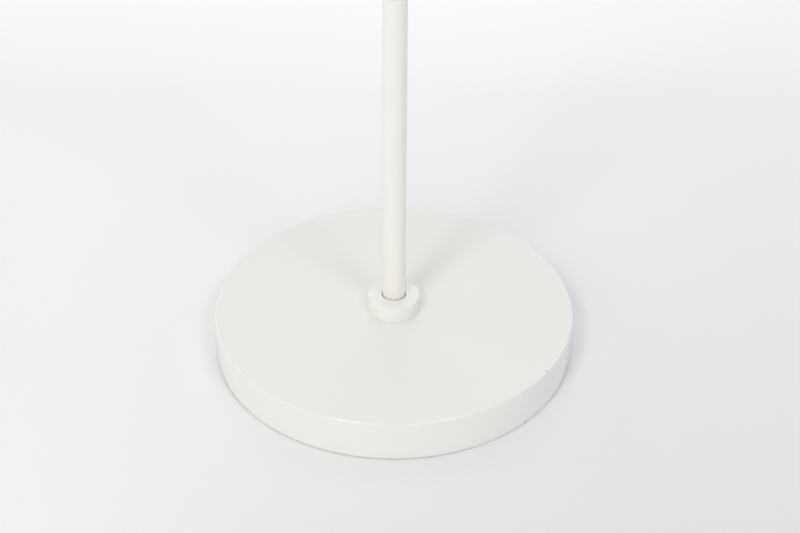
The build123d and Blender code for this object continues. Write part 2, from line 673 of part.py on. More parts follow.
# Cup over the lampholder: a spun shell with a ring of vents
with BuildPart() as socket_cup:
    with BuildSketch(Plane(origin=pivot - Vector(0, 0, shade_top))):
        Circle(cup_radius)
    extrude(amount=CUP_HEIGHT)
    fillet(socket_cup.faces().sort_by(Axis.Z)[-1].edges(), CUP_TOP_RADIUS)
    offset(amount=-CUP_WALL, openings=socket_cup.faces().sort_by(Axis.Z)[0])
    with BuildSketch(Plane(origin=pivot - Vector(0, 0, cup_inside))):
        Circle(thread_hole)
    extrude(amount=CUP_WALL, mode=Mode.SUBTRACT)
    for vent in range(VENT_COUNT):
        turn = radians((vent + 0.5) * 360 / VENT_COUNT)
        outwards = Vector(cos(turn), sin(turn), 0)
        centre = pivot - Vector(0, 0, cup_top + VENT_DROP)
        with BuildSketch(Plane(origin=centre, x_dir=(0, 0, 1), z_dir=outwards)):
            SlotOverall(VENT_LENGTH, VENT_WIDTH)
    extrude(amount=CUP_DIAMETER, mode=Mode.SUBTRACT)
    with BuildSketch(across(pivot_x, arm_level - switch_level)):
        Circle(SWITCH_SPINDLE / 2 + SWITCH_HOLE_GAP)
    extrude(amount=CUP_DIAMETER, mode=Mode.SUBTRACT)

cup_nut = hex_nut(-holder_top, Plane(origin=pivot))

# Lampholder: body, flange over the shade and threaded skirt through it
with BuildPart() as lampholder:
    with BuildSketch(head_plane):
        with BuildLine():
            Polyline(
                (0, -stud_end),
                (thread_hole, -stud_end),
                (thread_hole, -holder_top),
                (HOLDER_DIAMETER / 2, -holder_top),
                (HOLDER_DIAMETER / 2, -shade_top + HOLDER_FLANGE),
                (HOLDER_FLANGE_DIAMETER / 2, -shade_top + HOLDER_FLANGE),
                (HOLDER_FLANGE_DIAMETER / 2, -shade_top),
                (SKIRT_DIAMETER / 2, -shade_top),
                (SKIRT_DIAMETER / 2, -holder_foot),
                (SOCKET_BORE / 2, -holder_foot),
                (SOCKET_BORE / 2, -socket_top),
                (0, -socket_top),
                close=True,
            )
        make_face()
    revolve(axis=head_axis)
    fillet(lampholder.faces().sort_by(Axis.Z)[-1].outer_wire().edges(), HOLDER_TOP_RADIUS)
    with BuildSketch(across(pivot_x + HOLDER_DIAMETER / 2, arm_level - switch_level)):
        Circle(SWITCH_SPINDLE / 2 + RUNNING_GAP)
    extrude(amount=-SWITCH_SPINDLE_SEAT, mode=Mode.SUBTRACT)

screw_shell_foot = holder_foot - SCREW_SHELL_INSET
screw_shell = turned(
    sleeve(
        SOCKET_BORE / 2 - SEAT_GAP - SCREW_SHELL_WALL,
        SOCKET_BORE / 2 - SEAT_GAP,
        -screw_shell_foot,
        -screw_shell_foot + SCREW_SHELL_LENGTH,
    ),
    head_plane,
    head_axis,
)
centre_contact = turned(sleeve(0, CONTACT_DIAMETER / 2, -contact_face, -socket_top), head_plane, head_axis)

# Ring that clamps the shade, with finger grips round it
with BuildPart() as shade_ring:
    with BuildSketch(Plane(origin=pivot - Vector(0, 0, shade_inside + RING_HEIGHT))):
        Circle(RING_DIAMETER / 2)
        Circle(SKIRT_DIAMETER / 2 + THREAD_GAP, mode=Mode.SUBTRACT)
        with PolarLocations(RING_DIAMETER / 2 + RING_GRIP_DIAMETER / 2 - RING_GRIP_DEPTH, RING_GRIPS):
            Circle(RING_GRIP_DIAMETER / 2, mode=Mode.SUBTRACT)
    extrude(amount=RING_HEIGHT)

# Shade: one spun sheet with a flat top, a rounded shoulder and a rolled rim
with BuildPart() as shade:
    bead_radius = SHADE_BEAD / 2
    bead_centre = (SHADE_MOUTH / 2 - bead_radius, -shade_mouth + bead_radius)
    with BuildSketch(head_plane):
        with BuildLine():
            FilletPolyline(
                (SKIRT_DIAMETER / 2 + DROP_IN_GAP, -shade_top),
                (SHADE_SHOULDER / 2, -shade_top),
                bead_centre,
                radius=SHADE_SHOULDER_RADIUS,
            )
            offset(amount=SHADE_WALL, side=Side.RIGHT)
        make_face()
        with Locations(bead_centre):
            Circle(bead_radius)
    revolve(axis=head_axis)

# Bulb: blown globe, screw cap, insulator and contact
with BuildPart() as bulb_globe:
    globe_radius = BULB_DIAMETER / 2
    globe_centre = -bulb_end + globe_radius
    rise = radians(BULB_SHOULDER_ANGLE)
    shoulder = (globe_radius * cos(rise), globe_centre + globe_radius * sin(rise))
    neck_radius = CAP_DIAMETER / 2 - CAP_WALL - SEAT_GAP
    with BuildSketch(head_plane):
        with BuildLine():
            ThreePointArc((0, -bulb_end), (globe_radius, globe_centre), shoulder)
            TangentArc(shoulder, (neck_radius, -cap_foot), tangent=(-sin(rise), cos(rise)))
            Polyline((neck_radius, -cap_foot), (0, -cap_foot), (0, -bulb_end))
        make_face()
    revolve(axis=head_axis)
    offset(amount=-BULB_WALL, openings=bulb_globe.faces().sort_by(Axis.Z)[-1])

bulb_cap = turned(
    [
        (CAP_HOLE / 2, -cap_top),
        (CAP_DIAMETER / 2, -cap_top),
        (CAP_DIAMETER / 2, -cap_foot),
        (CAP_DIAMETER / 2 - CAP_WALL, -cap_foot),
        (CAP_DIAMETER / 2 - CAP_WALL, -cap_top - CAP_WALL),
        (CAP_HOLE / 2, -cap_top - CAP_WALL),
    ],
    head_plane,
    head_axis,
)
bulb_insulator = turned(
    [
        (0, -insulator_top),
        (TIP_DIAMETER / 2, -insulator_top),
        (CAP_DIAMETER / 2 - CAP_WALL, -cap_top),
        (0, -cap_top),
    ],
    head_plane,
    head_axis,
)
bulb_tip = turned(sleeve(0, TIP_DIAMETER / 2, -insulator_top, -contact_face), head_plane, head_axis)

# Turn switch: a spindle out of the lampholder and a fluted knob
with BuildPart() as switch_spindle:
    spindle_start = pivot_x + HOLDER_DIAMETER / 2 - SWITCH_SPINDLE_SEAT + RUNNING_GAP
    with BuildSketch(across(spindle_start, arm_level - switch_level)):
        Circle(SWITCH_SPINDLE / 2)
    extrude(amount=pivot_x + knob_start + KNOB_SEAT - spindle_start)

with BuildPart() as switch_knob:
    with BuildSketch(across(pivot_x + knob_start, arm_level - switch_level)):
        Circle(KNOB_DIAMETER / 2)
    extrude(amount=KNOB_LENGTH)
    fillet(switch_knob.faces().sort_by(Axis.X)[-1].edges(), KNOB_EDGE)
    with BuildSketch(across(pivot_x + knob_start, arm_level - switch_level)):
        with PolarLocations(KNOB_DIAMETER / 2, KNOB_FLUTES):
            Circle(KNOB_FLUTE_DIAMETER / 2)
    extrude(amount=KNOB_GRIP, mode=Mode.SUBTRACT)
    with BuildSketch(across(pivot_x + knob_start, arm_level - switch_level)):
        Circle(SWITCH_SPINDLE / 2 + SEAT_GAP)
    extrude(amount=KNOB_SEAT, mode=Mode.SUBTRACT)

# Lead inside the lamp, in three lengths that meet at the joints
with BuildPart() as pole_lead:
    with BuildLine():
        FilletPolyline(
            (0, BLOCK_DISTANCE, lead_height),
            (0, 0, lead_height),
            (0, 0, swivel_face),
            radius=LEAD_BEND,
        )
    with BuildSketch(Plane.XZ.offset(-BLOCK_DISTANCE)):
        with Locations((0, lead_height)):
            Circle(LEAD_DIAMETER / 2)
    sweep()

with BuildPart() as arm_lead:
    with BuildLine():
        FilletPolyline(
            (0, 0, swivel_face),
            (0, 0, arm_level),
            (pivot_x - knuckle_radius - KNUCKLE_RIM, 0, arm_level),
            radius=LEAD_BEND,
        )
    with BuildSketch(Plane.XY.offset(swivel_face)):
        Circle(LEAD_DIAMETER / 2)
    sweep()

with BuildPart() as head_lead:
    with BuildSketch(Plane(origin=pivot - Vector(0, 0, stud_end))):
        Circle(LEAD_DIAMETER / 2)
    extrude(amount=stud_end - knuckle_radius - KNUCKLE_RIM)

pieces = {
    "base_cover": base_cover,
    "ballast": ballast,
    "base_pad": base_pad,
    "cord_bush": cord_bush,
    "base_thread": base_thread,
    "base_nut": base_nut,
    "base_washer": base_washer,
    "terminal_block": terminal_block,
    "terminal_screw": terminal_screw,
    "collar": collar,
    "pole_foot": pole_foot,
    "pole_lower": pole_lower,
    "pole_upper": pole_upper,
    "joint_bush": joint_bush,
    "joint_stud": joint_stud,
    "top_bush": top_bush,
    "pole_lead": pole_lead,
    "swivel_washer": swivel_washer,
    "swivel_spindle": swivel_spindle,
    "spindle_clip": spindle_clip,
    "stop_pin": stop_pin,
    "arm_hub": arm_hub,
    "grub_screw": grub_screw,
    "arm_tube": arm_tube,
    "arm_lead": arm_lead,
    "knuckle_arm_half": knuckle_arm_half,
    "friction_ring": friction_ring,
    "knuckle_bolt": knuckle_bolt,
    "spring_washer": spring_washer,
    "cap_nut": cap_nut,
    "knuckle_head_half": knuckle_head_half,
    "head_lead": head_lead,
    "socket_cup": socket_cup,
    "cup_nut": cup_nut,
    "lampholder": lampholder,
    "screw_shell": screw_shell,
    "centre_contact": centre_contact,
    "shade_ring": shade_ring,
    "shade": shade,
    "bulb_globe": bulb_globe,
    "bulb_cap": bulb_cap,
    "bulb_insulator": bulb_insulator,
    "bulb_tip": bulb_tip,
    "switch_spindle": switch_spindle,
    "switch_knob": switch_knob,
}

os.makedirs("parts", exist_ok=True)
for name, piece in pieces.items():
    piece.part.label = name
    export_step(piece.part, f"parts/{name}.step")
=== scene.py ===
"""Looks of a white reading floor lamp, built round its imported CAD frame."""

import logging
import math
from dataclasses import dataclass
from enum import Enum
from typing import ClassVar, Sequence

import bmesh
import bpy
from bmesh.types import BMesh
from bpy.types import Material, Node, NodeSocket, NodeTree, Object
from mathutils import Matrix, Vector


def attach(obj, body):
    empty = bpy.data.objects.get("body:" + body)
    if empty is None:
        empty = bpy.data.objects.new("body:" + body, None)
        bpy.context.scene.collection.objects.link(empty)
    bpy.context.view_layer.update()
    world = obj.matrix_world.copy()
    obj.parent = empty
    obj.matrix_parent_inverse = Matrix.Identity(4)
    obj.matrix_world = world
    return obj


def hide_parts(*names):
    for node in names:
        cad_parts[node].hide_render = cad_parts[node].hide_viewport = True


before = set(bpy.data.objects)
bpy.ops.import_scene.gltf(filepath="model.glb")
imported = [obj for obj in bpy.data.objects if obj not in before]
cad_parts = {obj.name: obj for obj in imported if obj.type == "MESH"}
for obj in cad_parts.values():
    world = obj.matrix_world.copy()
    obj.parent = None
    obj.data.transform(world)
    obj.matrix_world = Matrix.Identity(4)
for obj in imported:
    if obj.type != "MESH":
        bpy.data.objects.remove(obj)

log = logging.getLogger("floor_lamp")

# A millimetre in the scene's metres, the distance at which points merge, and the angle of a sharp edge
MM = 0.001
MERGE = 1e-7
SHARP = math.radians(35.0)

# Places of the colour sockets on a Mix node, and the range of most heights of a noise
MIX_BASE, MIX_TINT, MIX_RESULT = 6, 7, 2
NOISE_LOW, NOISE_HIGH = 0.3, 0.7

Colour = tuple[float, float, float]
Place = tuple[float, float, float]


class Body(Enum):
    """The bodies of the frame that new pieces ride on."""

    STAND = "stand"
    HEAD = "head"


class Slot(Enum):
    """The material slots of the record."""

    WHITE_PAINT = "white_paint"
    COLLAR_PLASTIC = "collar_plastic"
    FELT = "felt"
    CAST_IRON = "cast_iron"
    BLACK_RUBBER = "black_rubber"
    ZINC_STEEL = "zinc_steel"
    DARK_STEEL = "dark_steel"
    BRIGHT_STEEL = "bright_steel"
    NYLON = "nylon"
    FIBRE = "fibre"
    LEAD_SHEATH = "lead_sheath"
    HOLDER_PLASTIC = "holder_plastic"
    BRASS = "brass"
    OPAL_GLASS = "opal_glass"
    CAP_METAL = "cap_metal"
    INSULATOR = "insulator"
    KNOB_PLASTIC = "knob_plastic"


class Along(Enum):
    """The axes of the frame."""

    X = "X"
    Y = "Y"
    Z = "Z"


class Join(Enum):
    """The ways in which two values become one."""

    LARGER = "MAXIMUM"
    PRODUCT = "MULTIPLY"


@dataclass(frozen=True)
class Ramp:
    """A range of a value and the results at its two ends, which are held beyond them."""

    low: float
    high: float
    first: float = 0.0
    last: float = 1.0

    @classmethod
    def fading(cls, size: float, strength: float) -> "Ramp":
        """A ramp that is full up to half a size in millimetres and gone at the whole size."""
        return cls(size * 0.5 * MM, size * MM, strength, 0.0)


def joined(tree: NodeTree, join: Join, first: NodeSocket, second: NodeSocket) -> NodeSocket:
    """Make one value of two.

    Args:
        tree: the node tree of a material or a world.
        join: how they are joined.
        first: one value.
        second: the other value.

    Returns:
        The joined value.
    """
    node = tree.nodes.new("ShaderNodeMath")
    node.operation = join.value
    for socket, source in zip(node.inputs, (first, second)):
        tree.links.new(source, socket)
    return node.outputs["Value"]


def blended(tree: NodeTree, factor: NodeSocket, first: NodeSocket, second: NodeSocket) -> NodeSocket:
    """Blend two shaders.

    Args:
        tree: the node tree of a material or a world.
        factor: how much of the second shows.
        first: the shader at 0.
        second: the shader at 1.

    Returns:
        The blended shader.
    """
    node = tree.nodes.new("ShaderNodeMixShader")
    for socket, source in zip(node.inputs, (factor, first, second)):
        tree.links.new(source, socket)
    return node.outputs["Shader"]


def seen_rays(tree: NodeTree) -> NodeSocket:
    """Add the test for rays that show the background: from the camera, a reflection or through glass.

    Args:
        tree: the node tree of a material or a world.

    Returns:
        1 for such a ray and 0 for the rest.
    """
    path = tree.nodes.new("ShaderNodeLightPath")
    seen = path.outputs["Is Camera Ray"]
    for ray in ("Is Glossy Ray", "Is Transmission Ray"):
        seen = joined(tree, Join.LARGER, seen, path.outputs[ray])
    return seen


class NodeBoard:
    """The node tree of one material, with a short call for each node that the finishes use."""

    def __init__(self, name: str) -> None:
        """Start a material with an empty tree, a shader and Object coordinates.

        Args:
            name: name of the material.
        """
        self.material: Material = bpy.data.materials.new(name)
        self.material.use_nodes = True
        self.tree: NodeTree = self.material.node_tree
        self.tree.nodes.clear()
        self.surface: NodeSocket = self.tree.nodes.new("ShaderNodeOutputMaterial").inputs["Surface"]
        self.shader: Node = self.tree.nodes.new("ShaderNodeBsdfPrincipled")
        self.tree.links.new(self.shader.outputs["BSDF"], self.surface)
        self.place: NodeSocket = self.tree.nodes.new("ShaderNodeTexCoord").outputs["Object"]

    def fix(self, socket: str, value: float | Sequence[float]) -> None:
        """Set a socket of the shader to a constant."""
        self.shader.inputs[socket].default_value = value

    def feed(self, socket: str, source: NodeSocket) -> None:
        """Link a value or colour to a socket of the shader."""
        self.tree.links.new(source, self.shader.inputs[socket])

    def stretched(self, scale: Place) -> NodeSocket:
        """Scale the coordinates along each axis, for grain that runs one way.

        Args:
            scale: factor along each axis.

        Returns:
            The scaled coordinates.
        """
        node = self.tree.nodes.new("ShaderNodeMapping")
        node.inputs["Scale"].default_value = scale
        self.tree.links.new(self.place, node.inputs["Vector"])
        return node.outputs["Vector"]

    def noise(self, scale: float, detail: float, at: NodeSocket | None = None) -> NodeSocket:
        """Add smooth noise.

        Args:
            scale: waves in a metre.
            detail: octaves of finer noise.
            at: coordinates, or None for Object coordinates.

        Returns:
            The noise's height, about 0.5 on average.
        """
        node = self.tree.nodes.new("ShaderNodeTexNoise")
        node.inputs["Scale"].default_value = scale
        node.inputs["Detail"].default_value = detail
        self.tree.links.new(at or self.place, node.inputs["Vector"])
        return node.outputs["Fac"]

    def cells(self, scale: float) -> NodeSocket:
        """Scatter points.

        Args:
            scale: points along a metre.

        Returns:
            The distance to the nearest point, in units of their spacing.
        """
        node = self.tree.nodes.new("ShaderNodeTexVoronoi")
        node.inputs["Scale"].default_value = scale
        self.tree.links.new(self.place, node.inputs["Vector"])
        return node.outputs["Distance"]

    def span(self, value: NodeSocket, ramp: Ramp) -> NodeSocket:
        """Map a range of a value to another range.

        Args:
            value: the value to map.
            ramp: both ranges.

        Returns:
            The mapped value.
        """
        node = self.tree.nodes.new("ShaderNodeMapRange")
        node.inputs["From Min"].default_value = ramp.low
        node.inputs["From Max"].default_value = ramp.high
        node.inputs["To Min"].default_value = ramp.first
        node.inputs["To Max"].default_value = ramp.last
        self.tree.links.new(value, node.inputs["Value"])
        return node.outputs["Result"]

    def times(self, first: NodeSocket, second: NodeSocket) -> NodeSocket:
        """The product of two values."""
        return joined(self.tree, Join.PRODUCT, first, second)

    def larger(self, first: NodeSocket, second: NodeSocket) -> NodeSocket:
        """The larger of two values."""
        return joined(self.tree, Join.LARGER, first, second)

    def axis(self, along: Along) -> NodeSocket:
        """Take one of the Object coordinates.

        Args:
            along: the axis.

        Returns:
            The place along that axis, in metres.
        """
        node = self.tree.nodes.new("ShaderNodeSeparateXYZ")
        self.tree.links.new(self.place, node.inputs["Vector"])
        return node.outputs[along.value]

    def away(self, point: Place) -> NodeSocket:
        """Measure the distance from a point.

        Args:
            point: its place in the frame, in millimetres.

        Returns:
            The distance, in metres.
        """
        node = self.tree.nodes.new("ShaderNodeVectorMath")
        node.operation = "DISTANCE"
        here, there = node.inputs[0], node.inputs[1]
        self.tree.links.new(self.place, here)
        there.default_value = tuple(value * MM for value in point)
        return node.outputs["Value"]

    def tinted(self, factor: NodeSocket, base: NodeSocket | Colour, tint: Colour) -> NodeSocket:
        """Mix a tint into a colour.

        Args:
            factor: how much of the tint shows.
            base: a colour, or the colour so far.
            tint: the colour mixed in.

        Returns:
            The mixed colour.
        """
        node = self.tree.nodes.new("ShaderNodeMix")
        node.data_type = "RGBA"
        self.tree.links.new(factor, node.inputs["Factor"])
        if isinstance(base, tuple):
            node.inputs[MIX_BASE].default_value = (*base, 1.0)
        else:
            self.tree.links.new(base, node.inputs[MIX_BASE])
        node.inputs[MIX_TINT].default_value = (*tint, 1.0)
        return node.outputs[MIX_RESULT]

    def gloss(self, pattern: NodeSocket, roughness: float, swing: float) -> None:
        """Let the roughness follow a noise.

        Args:
            pattern: the noise.
            roughness: roughness on average.
            swing: how far it goes to either side.
        """
        ramp = Ramp(NOISE_LOW, NOISE_HIGH, roughness - swing, roughness + swing)
        self.feed("Roughness", self.span(pattern, ramp))

    def relief(self, height: NodeSocket, depth: float) -> None:
        """Bump the surface.

        Args:
            height: a height of 0 to 1.
            depth: what a height of 1 stands for, in millimetres.
        """
        node = self.tree.nodes.new("ShaderNodeBump")
        node.inputs["Strength"].default_value = 1.0
        node.inputs["Distance"].default_value = depth * MM
        self.tree.links.new(height, node.inputs["Height"])
        self.feed("Normal", node.outputs["Normal"])

    def whitened(self, factor: NodeSocket) -> None:
        """Show plain white instead of the shader, to the camera and to reflections.

        Args:
            factor: how much of the white shows.
        """
        white = self.tree.nodes.new("ShaderNodeEmission").outputs["Emission"]
        shown = self.times(factor, seen_rays(self.tree))
        self.tree.links.new(blended(self.tree, shown, self.shader.outputs["BSDF"], white), self.surface)


@dataclass(frozen=True)
class Finish:
    """What every finish has: a name, a slot of the record, a colour and a roughness."""

    name: str
    slot: Slot
    colour: Colour
    roughness: float
    made: ClassVar[dict[str, Material]] = {}

    def material(self) -> Material:
        """Make the finish's material on first use.

        Returns:
            The material.
        """
        if self.name not in self.made:
            board = NodeBoard(self.name)
            board.fix("Base Color", (*self.colour, 1.0))
            board.fix("Roughness", self.roughness)
            self.draw(board)
            self.made[self.name] = board.material
        return self.made[self.name]

    def draw(self, board: NodeBoard) -> None:
        """Add the finish's own nodes to the board."""
        raise NotImplementedError


@dataclass(frozen=True)
class Paint(Finish):
    """Sprayed enamel: orange peel, cloudy gloss, faint yellowing and dust specks."""

    aged: Colour = (0.80, 0.77, 0.70)
    ageing: float = 0.12
    dust: Colour = (0.34, 0.31, 0.27)
    swing: float = 0.03
    peel: float = 0.012

    def draw(self, board: NodeBoard) -> None:
        """Cloud the colour and gloss, scatter the specks and bump the peel.

        Args:
            board: the board of the material.
        """
        clouds = board.span(board.noise(scale=11.0, detail=1.0), Ramp(0.30, 0.80, 0.0, self.ageing))
        colour = board.tinted(clouds, self.colour, self.aged)
        specks = board.span(board.cells(scale=95.0), Ramp(0.016, 0.030, 0.45, 0.0))
        rare = board.span(board.noise(scale=31.0, detail=0.0), Ramp(0.60, 0.64))
        board.feed("Base Color", board.tinted(board.times(specks, rare), colour, self.dust))
        board.gloss(board.noise(scale=26.0, detail=2.0), self.roughness, self.swing)
        board.relief(board.noise(scale=620.0, detail=1.0), self.peel)


@dataclass(frozen=True)
class Chip:
    """One spot where the paint has come off, in millimetres."""

    at: Place
    size: float


@dataclass(frozen=True)
class RimPaint(Paint):
    """The base's enamel, with wear along its lower rim and a few chips."""

    rim: float = 2.6
    chips: tuple[Chip, ...] = ()
    chipped: float = 0.85
    bare: Colour = (0.30, 0.28, 0.26)

    def draw(self, board: NodeBoard) -> None:
        """Add scuffs at the rim and the chips to the enamel.

        Args:
            board: the board of the material.
        """
        super().draw(board)
        colour = board.shader.inputs["Base Color"].links[0].from_socket
        near_floor = board.span(board.axis(Along.Z), Ramp.fading(self.rim, 1.0))
        scuffs = board.span(board.noise(scale=210.0, detail=3.0), Ramp(0.66, 0.74, 0.0, 0.4))
        colour = board.tinted(board.times(near_floor, scuffs), colour, self.bare)
        for chip in self.chips:
            spot = board.span(board.away(chip.at), Ramp.fading(chip.size, self.chipped))
            colour = board.tinted(spot, colour, self.bare)
        board.feed("Base Color", colour)


@dataclass(frozen=True)
class Plastic(Finish):
    """Moulded plastic or rubber: fine spark grain and a cloudy gloss."""

    grain: float = 900.0
    depth: float = 0.010
    mottle: float = 0.12
    swing: float = 0.06

    def draw(self, board: NodeBoard) -> None:
        """Mottle the colour a little, vary the gloss and bump the grain.

        Args:
            board: the board of the material.
        """
        darker = tuple(value * (1.0 - self.mottle) for value in self.colour)
        board.feed("Base Color", board.tinted(board.noise(scale=34.0, detail=4.0), self.colour, darker))
        board.gloss(board.noise(scale=60.0, detail=3.0), self.roughness, self.swing)
        board.relief(board.noise(scale=self.grain, detail=2.0), self.depth)


@dataclass(frozen=True)
class Metal(Finish):
    """Bare or plated metal with tool marks that run one way."""

    grain: Place = (220.0, 220.0, 2600.0)
    depth: float = 0.006
    tarnish: Colour = (0.20, 0.18, 0.15)
    swing: float = 0.04

    def draw(self, board: NodeBoard) -> None:
        """Dull the metal in patches and bump the tool marks.

        Args:
            board: the board of the material.
        """
        board.fix("Metallic", 1.0)
        patches = board.span(board.noise(scale=55.0, detail=5.0), Ramp(0.50, 0.75, 0.0, 0.35))
        board.feed("Base Color", board.tinted(patches, self.colour, self.tarnish))
        marks = board.noise(scale=1.0, detail=2.0, at=board.stretched(self.grain))
        board.gloss(marks, self.roughness, self.swing)
        board.relief(marks, self.depth)


@dataclass(frozen=True)
class CastIron(Finish):
    """Rough cast iron under a thin black lacquer."""

    rust: Colour = (0.16, 0.075, 0.04)
    depth: float = 0.15
    swing: float = 0.1

    def draw(self, board: NodeBoard) -> None:
        """Stain the iron with rust and bump its sand-cast skin.

        Args:
            board: the board of the material.
        """
        stains = board.span(board.noise(scale=48.0, detail=6.0), Ramp(0.55, 0.70, 0.0, 0.6))
        board.feed("Base Color", board.tinted(stains, self.colour, self.rust))
        skin = board.noise(scale=420.0, detail=5.0)
        board.gloss(skin, self.roughness, self.swing)
        board.relief(skin, self.depth)


@dataclass(frozen=True)
class Felt(Finish):
    """Pressed felt: matted fibres with a soft sheen."""

    sheen: float = 0.4
    sheen_roughness: float = 0.6
    fibres: Place = (2400.0, 500.0, 900.0)
    lightening: float = 1.8
    depth: float = 0.12

    def draw(self, board: NodeBoard) -> None:
        """Mat two layers of fibre together.

        Args:
            board: the board of the material.
        """
        board.fix("Sheen Weight", self.sheen)
        board.fix("Sheen Roughness", self.sheen_roughness)
        strands = board.noise(scale=1.0, detail=4.0, at=board.stretched(self.fibres))
        lighter = tuple(value * self.lightening for value in self.colour)
        board.feed("Base Color", board.tinted(strands, self.colour, lighter))
        board.relief(board.noise(scale=1300.0, detail=5.0), self.depth)


@dataclass(frozen=True)
class Opal(Finish):
    """Opal glass: a smooth white skin that lets light into the wall."""

    inside: float = 0.5
    reach: Place = (0.004, 0.004, 0.0035)
    skin: float = 0.6
    skin_roughness: float = 0.04
    cloud: Colour = (0.86, 0.85, 0.80)
    ripple: float = 0.05

    def draw(self, board: NodeBoard) -> None:
        """Let light into the glass and ripple its blown skin a little.

        Args:
            board: the board of the material.
        """
        board.fix("Subsurface Weight", self.inside)
        board.fix("Subsurface Radius", self.reach)
        board.fix("Coat Weight", self.skin)
        board.fix("Coat Roughness", self.skin_roughness)
        clouds = board.span(board.noise(scale=60.0, detail=2.0), Ramp(0.35, 0.65, 0.0, 0.25))
        board.feed("Base Color", board.tinted(clouds, self.colour, self.cloud))
        board.relief(board.noise(scale=45.0, detail=1.0), self.ripple)


# Each finish by name, slot, colour and roughness
WHITE: Colour = (0.80, 0.80, 0.765)
BASE_CHIPS = (
    Chip((102.6, -69.5, 29.9), 0.9),
    Chip((88.5, -88.3, 1.0), 1.2),
    Chip((-2.0, -125.0, 0.8), 0.7),
)
BASE_PAINT = RimPaint("base_paint", Slot.WHITE_PAINT, WHITE, 0.12, chips=BASE_CHIPS)
# The tubes' white is a lighter, warmer copy of the base's white: painted light for how brightly the pole is
# lit
LIT_TUBE_PAINT = Paint("lit_tube_paint", Slot.WHITE_PAINT, (0.845, 0.828, 0.782), 0.32, aged=(0.82, 0.78, 0.71))
SHADE_PAINT = Paint("shade_paint", Slot.WHITE_PAINT, WHITE, 0.42)
CAST_PAINT = Paint("cast_paint", Slot.WHITE_PAINT, WHITE, 0.42, peel=0.03)
COLLAR_WHITE = Plastic("collar_white", Slot.COLLAR_PLASTIC, (0.835, 0.825, 0.785), 0.20, mottle=0.03)
PAD_FELT = Felt("pad_felt", Slot.FELT, (0.035, 0.034, 0.036), 0.95)
BALLAST_IRON = CastIron("ballast_iron", Slot.CAST_IRON, (0.045, 0.045, 0.047), 0.62)
BUSH_RUBBER = Plastic("bush_rubber", Slot.BLACK_RUBBER, (0.022, 0.022, 0.023), 0.62, depth=0.02)
ZINC = Metal("zinc", Slot.ZINC_STEEL, (0.62, 0.62, 0.60), 0.36)
DARK_STEEL = Metal("blackened_steel", Slot.DARK_STEEL, (0.10, 0.10, 0.105), 0.42)
BRIGHT_STEEL = Metal("bright_steel", Slot.BRIGHT_STEEL, (0.66, 0.66, 0.67), 0.22)
NYLON = Plastic("nylon", Slot.NYLON, (0.74, 0.73, 0.69), 0.45)
FIBRE = Plastic("fibre", Slot.FIBRE, (0.20, 0.085, 0.05), 0.75, grain=1600.0, depth=0.03, mottle=0.4)
LEAD = Plastic("lead_sheath", Slot.LEAD_SHEATH, (0.72, 0.72, 0.69), 0.48)
HOLDER = Plastic("holder_plastic", Slot.HOLDER_PLASTIC, (0.78, 0.775, 0.74), 0.38, mottle=0.06)
BRASS = Metal("brass", Slot.BRASS, (0.78, 0.56, 0.25), 0.33, tarnish=(0.30, 0.19, 0.08))
OPAL_GLASS = Opal("opal_glass", Slot.OPAL_GLASS, (0.90, 0.90, 0.87), 0.16)
CAP_METAL = Metal("cap_metal", Slot.CAP_METAL, (0.70, 0.70, 0.69), 0.33)
INSULATOR = Plastic("insulator_glass", Slot.INSULATOR, (0.012, 0.012, 0.014), 0.18)
KNOB = Plastic("knob_plastic", Slot.KNOB_PLASTIC, (0.79, 0.785, 0.75), 0.36, mottle=0.05)


def merged(bm: BMesh) -> BMesh:
    """Merge the points of a swept mesh that coincide, and turn its faces outwards.

    Args:
        bm: the mesh.

    Returns:
        The same mesh.
    """
    bmesh.ops.remove_doubles(bm, verts=bm.verts, dist=MERGE)
    bmesh.ops.recalc_face_normals(bm, faces=bm.faces)
    return bm


@dataclass(frozen=True)
class Corner:
    """A corner of an outline, in millimetres: distance from the axis, place along it and rounding."""

    radius: float
    along: float
    rounding: float = 0.0
    segments: int = 8


@dataclass(frozen=True)
class Lathe:
    """An axis in the frame that outlines are turned about, in millimetres."""

    origin: Place
    axis: Place = (0.0, 0.0, 1.0)
    outward: Place = (1.0, 0.0, 0.0)

    def point(self, corner: Corner) -> Vector:
        """The place of an outline's corner, in metres."""
        sideways = Vector(self.origin) + Vector(self.outward) * corner.radius
        return (sideways + Vector(self.axis) * corner.along) * MM

    def turned(self, outline: Sequence[Corner], steps: int) -> BMesh:
        """Turn a closed outline all the way round the axis.

        Args:
            outline: the corners, in order.
            steps: faces round the piece.

        Returns:
            The turned mesh, merged, with its faces outwards.
        """
        bm = bmesh.new()
        points = [bm.verts.new(self.point(corner)) for corner in outline]
        for first, second in zip(points, points[1:] + points[:1]):
            bm.edges.new((first, second))
        for corner, point in zip(outline, points):
            if corner.rounding:
                bmesh.ops.bevel(bm, geom=[point], affect="VERTICES", offset=corner.rounding * MM,
                                offset_type="OFFSET", segments=corner.segments, profile=0.5, material=-1)
        bmesh.ops.spin(bm, geom=bm.verts[:] + bm.edges[:], cent=Vector(self.origin) * MM, axis=self.axis,
                       angle=math.tau, steps=steps, use_merge=True)
        return merged(bm)


FLOOR_AXIS = Lathe((0.0, 0.0, 0.0))


def placed(bm: BMesh, name: str, material: Material) -> Object:
    """Put a mesh into the scene.

    Args:
        bm: the mesh, which is freed.
        name: name of the object.
        material: its material.

    Returns:
        The object, at the origin.
    """
    mesh = bpy.data.meshes.new(name)
    bm.to_mesh(mesh)
    bm.free()
    mesh.materials.append(material)
    made = bpy.data.objects.new(name, mesh)
    bpy.context.scene.collection.objects.link(made)
    return made


